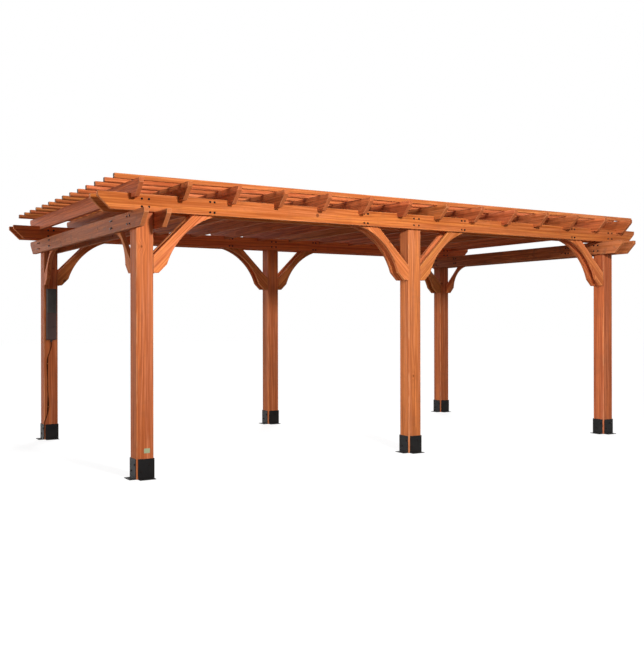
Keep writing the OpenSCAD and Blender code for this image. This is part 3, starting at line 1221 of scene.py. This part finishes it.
@dataclass
class Hardware:
    """Bolt heads on the header boards, side beams and shoes, and screws in the slats."""

    washer_r: float = 0.0095
    washer_t: float = 0.0018
    hex_r: float = 0.0068
    hex_h: float = 0.005
    screw_r: float = 0.0048
    screw_h: float = 0.0001
    post_spread: float = 0.029
    post_shift: float = -0.009
    header_rows: tuple[float, float] = (0.034, 0.095)
    beam_rows: tuple[float, float] = (0.039, 0.1)
    brace_column_gap: float = 0.039
    header_brace_out: float = 0.571
    header_brace_rows: tuple[float, float] = (0.023, 0.108)
    side_brace_out: float = 0.42
    side_brace_rows: tuple[float, float] = (0.04, 0.099)
    shoe_rows: tuple[float, float] = (0.06, 0.115)
    shoe_spread: float = 0.034
    seed: int = 5

    def build(self) -> list[bpy.types.Object]:
        """Make the bolts and the slat screws.

        Returns:
            The dressed bolts and screws.
        """
        bolt, screw = self.bolt_head(), self.screw_head()
        made = [
            self.spread("header_bolts", bolt, self.header_places(), "shoe_steel"),
            self.spread("side_beam_bolts", bolt, self.beam_places(), "shoe_steel"),
            self.spread("shoe_bolts", bolt, self.shoe_places(), "shoe_steel"),
            self.spread("slat_screws", screw, self.slat_places(), "shoe_steel"),
        ]
        for head in (bolt, screw):
            bpy.data.objects.remove(head)
        return made

    @staticmethod
    def turned(name: str, rings: list[tuple[float, float, int]]) -> bpy.types.Object:
        """Make a head from rings that stand on each other.

        Args:
            name: Name of the object.
            rings: Radius, height above the board, and number of corners of each ring; a ring
                with another number of corners than the last starts a new solid.

        Returns:
            The head, with its seat at the origin and facing up.
        """
        stock = bmesh.new()
        last: list[bmesh.types.BMVert] = []
        for radius, height, corners in rings:
            ring = [
                stock.verts.new((
                    radius * math.cos(math.tau * k / corners),
                    radius * math.sin(math.tau * k / corners),
                    height,
                ))
                for k in range(corners)
            ]
            if len(last) == corners:
                for k in range(corners):
                    n = (k + 1) % corners
                    stock.faces.new((last[k], last[n], ring[n], ring[k]))
            else:
                if last:
                    stock.faces.new(last)
                stock.faces.new(ring[::-1])
            last = ring
        stock.faces.new(last)
        stock.faces.layers.float.new("eased")
        data = bpy.data.meshes.new(name)
        stock.to_mesh(data)
        stock.free()
        return new_object(name, data)

    def bolt_head(self) -> bpy.types.Object:
        """Make a hexagon head on its washer.

        Returns:
            The head.
        """
        edge, sides, hex_sides = 0.0007, 18, 6
        top = self.washer_t + self.hex_h
        return self.turned("bolt_head", [
            (self.washer_r, 0.0, sides),
            (self.washer_r, self.washer_t - edge, sides),
            (self.washer_r - edge, self.washer_t, sides),
            (self.hex_r, self.washer_t - edge, hex_sides),
            (self.hex_r, top - 2 * edge, hex_sides),
            (self.hex_r - 2 * edge, top, hex_sides),
        ])

    def screw_head(self) -> bpy.types.Object:
        """Make a flat screw head with a sunk drive.

        Returns:
            The head.
        """
        sides = 12
        return self.turned("screw_head", [
            (self.screw_r, 0.0, sides),
            (self.screw_r, self.screw_h, sides),
            (0.5 * self.screw_r, self.screw_h, sides),
            (0.4 * self.screw_r, 0.1 * self.screw_h, sides),
        ])

    def through_pair(
        self, pair: str, out: int, across: int, posts: list[tuple[float, tuple[int, ...]]],
        rows: tuple[float, float], brace_out: float, brace_rows: tuple[float, float],
    ) -> list[Fixing]:
        """List the bolts through a pair of boards, at its posts and braces.

        Args:
            pair: Start of the boards' names.
            out: Way from the inner board to the outer one, as a sign.
            across: Axis that the bolts run along.
            posts: Middle of each post along the boards, and the sides on which it has a brace.
            rows: Heights of the bolts at a post, above the boards' lower edge.
            brace_out: Distance of a brace's bolts from the post's middle.
            brace_rows: Heights of the bolts at a brace.

        Returns:
            Place and facing of each bolt head.
        """
        outer, inner = (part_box(f"{pair}_{face}_board") for face in FACES)
        faces = (
            (outer[0 if out < 0 else 1][across], out),
            (inner[1 if out < 0 else 0][across], -out),
        )
        half_gap = self.brace_column_gap / 2
        made = []
        for middle, sides in posts:
            spots = list(product((middle - self.post_spread, middle + self.post_spread), rows))
            for side in sides:
                centre = middle + side * brace_out
                spots += list(product((centre - half_gap, centre + half_gap), brace_rows))
            for (at, up), (face, facing) in product(spots, faces):
                spot, towards = Vector((at, at, outer[0].z + up)), Vector()
                spot[across], towards[across] = face, facing
                made.append((spot, towards))
        return made

    def header_places(self) -> list[Fixing]:
        """List the places and facings of the bolts through the header boards.

        Returns:
            Place and facing of each bolt head.
        """
        made = []
        for row, out in zip(ROWS, (-1, 1)):
            posts = [
                (post_middle(row, place).x + self.post_shift, sides)
                for place, sides in zip(PLACES, ((1,), (-1, 1), (-1,)))
            ]
            brace = (self.header_brace_out, self.header_brace_rows)
            made += self.through_pair(f"{row}_header", out, 1, posts, self.header_rows, *brace)
        return made

    def beam_places(self) -> list[Fixing]:
        """List the places and facings of the bolts through the side beams.

        Returns:
            Place and facing of each bolt head.
        """
        made = []
        for side, out in zip(SIDES, (-1, 1)):
            posts = [(post_middle(row, side).y, (inward,)) for row, inward in zip(ROWS, (1, -1))]
            brace = (self.side_brace_out, self.side_brace_rows)
            made += self.through_pair(f"{side}_beam", out, 0, posts, self.beam_rows, *brace)
        return made

    def shoe_places(self) -> list[Fixing]:
        """List the places and facings of the bolts through the shoes' legs.

        Returns:
            Place and facing of each bolt head.
        """
        made = []
        ways = [Vector(way) for way in ((1, 0, 0), (-1, 0, 0), (0, 1, 0), (0, -1, 0))]
        for row, place in product(ROWS, PLACES):
            _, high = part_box(f"{row}_{place}_shoe")
            middle = post_middle(row, place)
            for facing in ways:
                reach = high.x - middle.x if facing.x else high.y - middle.y
                across = Vector((-facing.y, facing.x, 0))
                for up, side in zip(self.shoe_rows, (-1, 1)):
                    spot = Vector((middle.x, middle.y, up)) + facing * reach
                    made.append((spot + across * side * self.shoe_spread, facing))
        return made

    def slat_places(self) -> list[Fixing]:
        """List the places of the screws where slats cross rafters.

        Returns:
            Place and facing of each screw head.
        """
        spots = product(self.middles(0, *RAFTER_NODES), self.middles(1, *SLAT_NODES))
        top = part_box("front_roof_slats")[1].z
        return [(Vector((x, y, top)), Vector((0, 0, 1))) for x, y in spots]

    @staticmethod
    def middles(axis: int, *nodes: str) -> list[float]:
        """List where the middles of the nodes' solids lie on one axis.

        Args:
            axis: Number of the axis, from 0 to 2.
            nodes: The CAD nodes.

        Returns:
            The middles, node by node.
        """
        found = []
        for node in nodes:
            stock = Workpiece(node)
            found += [stock.middle(solid)[axis] for solid in stock.solids()]
            stock.mesh.free()
        return found

    def spread(
        self, name: str, head: bpy.types.Object, places: list[Fixing], slot: str
    ) -> bpy.types.Object:
        """Put a head on every place.

        Args:
            name: Name of the piece.
            head: The bolt or screw head.
            places: Place and facing of each.
            slot: The piece's material slot.

        Returns:
            The dressed piece.
        """
        data = bpy.data.meshes.new(name)
        data.from_pydata([tuple(spot) for spot, _ in places], [], [])
        facing = data.attributes.new("facing", "FLOAT_VECTOR", "POINT")
        facing.data.foreach_set("vector", [c for _, towards in places for c in towards])
        piece = new_object(name, data)
        grow(piece, fixings(), {"Head": head, "Seed": self.seed, "Finish": BOLT_COAT.material()})
        return dress(piece, BOLT_COAT, slot)


@dataclass
class PowerBox:
    """Power box on the rear left post, with its gland, cable and clips."""

    body_easing: float = 0.004
    cover_easing: float = 0.003
    rib_easing: float = 0.0008
    clip_easing: float = 0.0015

    def build(self) -> list[bpy.types.Object]:
        """Make the box, its ribs and covers, and the cable that supplies it.

        Returns:
            The dressed parts.
        """
        parts = (
            ("power_box_body", self.body_easing, 3, BOX_PLASTIC, "box_plastic"),
            ("power_box_covers", self.cover_easing, 3, BOX_PLASTIC, "box_plastic"),
            ("power_box_ribs", self.rib_easing, 2, RIB_COAT, "rib_metal"),
            ("cable_gland", self.rib_easing, 2, GLAND_PLASTIC, "gland_plastic"),
            ("cable_clips", self.clip_easing, 2, CLIP_PLASTIC, "clip_plastic"),
        )
        made = []
        for node, easing, segments, finish, slot in parts:
            piece = Workpiece(node).ease(easing, segments).to_object(f"{node}_shell")
            made.append(dress(piece, finish, slot, node))
        return made + [self.cable()]

    @staticmethod
    def cable() -> bpy.types.Object:
        """Make the cable round.

        Returns:
            The dressed cable.
        """
        piece = Workpiece("supply_cable").to_object("supply_cable_sheath")
        round_off = piece.modifiers.new("round", "SUBSURF")
        round_off.levels = round_off.render_levels = 1
        return dress(piece, CABLE_RUBBER, "cable_rubber", "supply_cable")


@dataclass
class LabelPlate:
    """Small blank plate on the front left post, above its shoe."""

    width: float = 0.05
    tallness: float = 0.038
    thickness: float = 0.0016
    off_centre: float = 0.014
    height: float = 0.222
    corner: float = 0.005
    easing: float = 0.0006

    def build(self) -> list[bpy.types.Object]:
        """Make the plate.

        Returns:
            The dressed plate, alone in a list.
        """
        low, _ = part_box("front_left_post")
        middle = post_middle("front", "left")
        stock = bmesh.new()
        bmesh.ops.create_cube(stock, size=1.0)
        size = Matrix.Diagonal((self.width, self.thickness, self.tallness, 1.0))
        spot = Vector((middle.x + self.off_centre, low.y - self.thickness / 2, self.height))
        stock.transform(Matrix.Translation(spot) @ size)
        corners = [
            edge for edge in stock.edges
            if abs((edge.verts[0].co - edge.verts[1].co).y) > self.thickness / 2
        ]
        bevel(stock, corners, self.corner, segments=4)
        rim = [e for e in stock.edges if e.calc_face_angle() > Workpiece.SHARP]
        bevel(stock, rim, self.easing, segments=2)
        data = bpy.data.meshes.new("blank_label_plate")
        stock.to_mesh(data)
        stock.free()
        return [dress(new_object("blank_label_plate", data), LABEL_PLASTIC, "clip_plastic")]


# -------------------------------------------------------------------- studio


@dataclass(frozen=True)
class NearLamp:
    """A round lamp that throws light every way, with its place, power and radius."""

    name: str
    place: Point
    power: float
    radius: float

    def hang(self, kind: str = "POINT") -> tuple[bpy.types.Light, bpy.types.Object]:
        """Add the lamp, unseen itself.

        Args:
            kind: Blender's name for the type of lamp.

        Returns:
            The lamp and the object that holds it.
        """
        lamp = bpy.data.lights.new(self.name, kind)
        lamp.energy = self.power
        lamp.shadow_soft_size = self.radius
        holder = put(self.name, lamp)
        holder.location = self.place
        holder.visible_camera = holder.visible_glossy = False
        return lamp, holder


@dataclass(frozen=True)
class AimedLamp(NearLamp):
    """A near lamp that throws a soft-edged cone of light, with what it is aimed at."""

    aim: Point
    cone: float = math.radians(34)

    def hang(self, kind: str = "SPOT") -> tuple[bpy.types.Light, bpy.types.Object]:
        """Add the lamp, turned to its aim.

        Args:
            kind: Blender's name for the type of lamp.

        Returns:
            The lamp and the object that holds it.
        """
        lamp, holder = super().hang(kind)
        lamp.spot_size = self.cone
        lamp.spot_blend = 1.0
        holder.rotation_euler = turned_to(Vector(self.aim) - Vector(self.place))
        return lamp, holder


@dataclass(frozen=True)
class FarLamp:
    """A soft distant lamp, with the way that its light travels and its strength."""

    name: str
    towards: Point
    strength: float
    softness: float = math.radians(20)

    def hang(self) -> None:
        """Add the lamp."""
        lamp = bpy.data.lights.new(self.name, "SUN")
        lamp.energy = self.strength
        lamp.angle = self.softness
        put(self.name, lamp).rotation_euler = turned_to(Vector(self.towards))


def turned_to(towards: Vector) -> Euler:
    """Give the rotation of a lamp that shines that way."""
    return towards.to_track_quat("-Z", "Y").to_euler()


@dataclass
class Studio:
    """Pale floor, plain soft light and the camera."""

    eye: Point = (-5.1321, -8.1591, 1.2364)
    turn: float = math.radians(31.55)
    pitch: float = math.radians(-0.054)
    roll: float = math.radians(-0.089)
    lens: float = 49.63
    sight: float = 200.0
    floor_size: float = 90.0
    floor_drop: float = 0.0005
    floor_dull: Colour = (0.2, 0.19, 0.18)
    floor_pale: Colour = (0.22, 0.22, 0.22)
    floor_glow: float = 0.88
    sky: Colour = (0.97, 0.99, 1.03)
    sky_strength: float = 0.12
    lamps: tuple[NearLamp | FarLamp, ...] = (
        NearLamp("key", (-1.7, -7.1, 3.3), power=1410.0, radius=0.3),
        AimedLamp("bay_light", (-6.5, -6.0, 2.82), power=760.0, radius=0.15, aim=(1.1, -1.4, 1.2)),
        FarLamp("left_fill", (1.0, 0.05, -0.08), strength=1.1, softness=math.radians(5)),
        FarLamp("rear_light", (-0.5, -0.75, -0.75), strength=1.8),
        FarLamp("rear_fill", (0.2, -1.0, -0.1), strength=1.0),
        FarLamp("right_fill", (-1.0, 0.1, -0.1), strength=0.9),
    )

    def build(self) -> None:
        """Set up the view, the light and the floor."""
        bpy.context.scene.view_settings.view_transform = "Standard"
        self.camera()
        self.world()
        for lamp in self.lamps:
            lamp.hang()
        self.floor()

    def camera(self) -> None:
        """Place the camera."""
        lens = bpy.data.cameras.new("camera")
        lens.lens = self.lens
        lens.clip_end = self.sight
        ahead = Vector((
            math.sin(self.turn) * math.cos(self.pitch),
            math.cos(self.turn) * math.cos(self.pitch),
            math.sin(self.pitch),
        ))
        right = Vector((math.cos(self.turn), -math.sin(self.turn), 0.0))
        right = Matrix.Rotation(-self.roll, 3, ahead) @ right
        axes = Matrix((right, right.cross(ahead), -ahead)).transposed()
        eye = put("camera", lens)
        eye.matrix_world = Matrix.Translation(self.eye) @ axes.to_4x4()
        bpy.context.scene.camera = eye

    @staticmethod
    def lit_and_seen(
        owner: bpy.types.World | bpy.types.Material, output: str,
        makers: tuple[Callable[[Sketch], bpy.types.Node], ...],
    ) -> None:
        """Shade something one way where it lights the object, and another where it is seen.

        Args:
            owner: The world or material.
            output: Blender's name for its output node.
            makers: Two functions that add a shader to a sketch, for its light and for its look.
        """
        owner.use_nodes = True
        owner.node_tree.nodes.clear()
        sketch = Sketch(owner.node_tree)
        path = sketch.add("ShaderNodeLightPath").outputs
        seen = sketch.math("MAXIMUM", path["Is Camera Ray"], path["Is Glossy Ray"])
        seen = sketch.math("MAXIMUM", seen, path["Is Transmission Ray"])
        light, look = (maker(sketch).outputs[0] for maker in makers)
        both = sketch.add("ShaderNodeMixShader", {0: seen, 1: light, 2: look})
        sketch.add(output, {"Surface": both.outputs[0]})

    def world(self) -> None:
        """Light the object with a soft sky, and show white behind it."""
        world, sky = bpy.data.worlds.new("studio"), (*self.sky, 1.0)
        self.lit_and_seen(world, "ShaderNodeOutputWorld", (
            lambda sketch: sketch.add("ShaderNodeBackground", {0: sky, 1: self.sky_strength}),
            lambda sketch: sketch.add("ShaderNodeBackground", {0: WHITE, 1: 1.0}),
        ))
        bpy.context.scene.world = world

    def floor(self) -> None:
        """Lay a pale floor that keeps the object's shadow and returns little light."""
        data = bpy.data.meshes.new("floor")
        half = self.floor_size / 2
        corners = [(-half, -half, 0), (half, -half, 0), (half, half, 0), (-half, half, 0)]
        data.from_pydata(corners, [], [(0, 1, 2, 3)])
        floor = put("floor", data)
        floor.location.z = -self.floor_drop
        paint = bpy.data.materials.new("floor_paint")
        self.lit_and_seen(paint, "ShaderNodeOutputMaterial", (
            lambda sketch: sketch.add("ShaderNodeBsdfDiffuse", {0: (*self.floor_dull, 1.0)}),
            self.bright_floor,
        ))
        data.materials.append(paint)

    def bright_floor(self, sketch: Sketch) -> bpy.types.Node:
        """Make the floor as it is seen: nearly white, with the object's shadow on it.

        Args:
            sketch: The floor material's node tree.

        Returns:
            The shader node.
        """
        pale = sketch.add("ShaderNodeBsdfDiffuse", {0: (*self.floor_pale, 1.0)})
        glow = sketch.add("ShaderNodeEmission", {0: WHITE, 1: self.floor_glow})
        return sketch.add("ShaderNodeAddShader", {0: pale.outputs[0], 1: glow.outputs[0]})


def main() -> None:
    """Build the studio and every sub-assembly."""
    logging.basicConfig(level=logging.INFO, format="%(name)s %(message)s")
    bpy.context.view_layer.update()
    Studio().build()
    assemblies = (
        Posts(),
        LongBoards(),
        KneeBraces(),
        BoardRow(RAFTER_NODES, 0, Lay.ALONG_Y, RAFTER_CEDAR, "rafter_timber", seed=41),
        BoardRow(SLAT_NODES, 1, Lay.ALONG_X, SLAT_CEDAR, "slat_timber", seed=61),
        PostShoes(),
        Hardware(),
        PowerBox(),
        LabelPlate(),
    )
    pieces = [piece for assembly in assemblies for piece in assembly.build()]
    LOG.info("%d pieces", len(pieces))


if __name__ == "__main__":
    main()
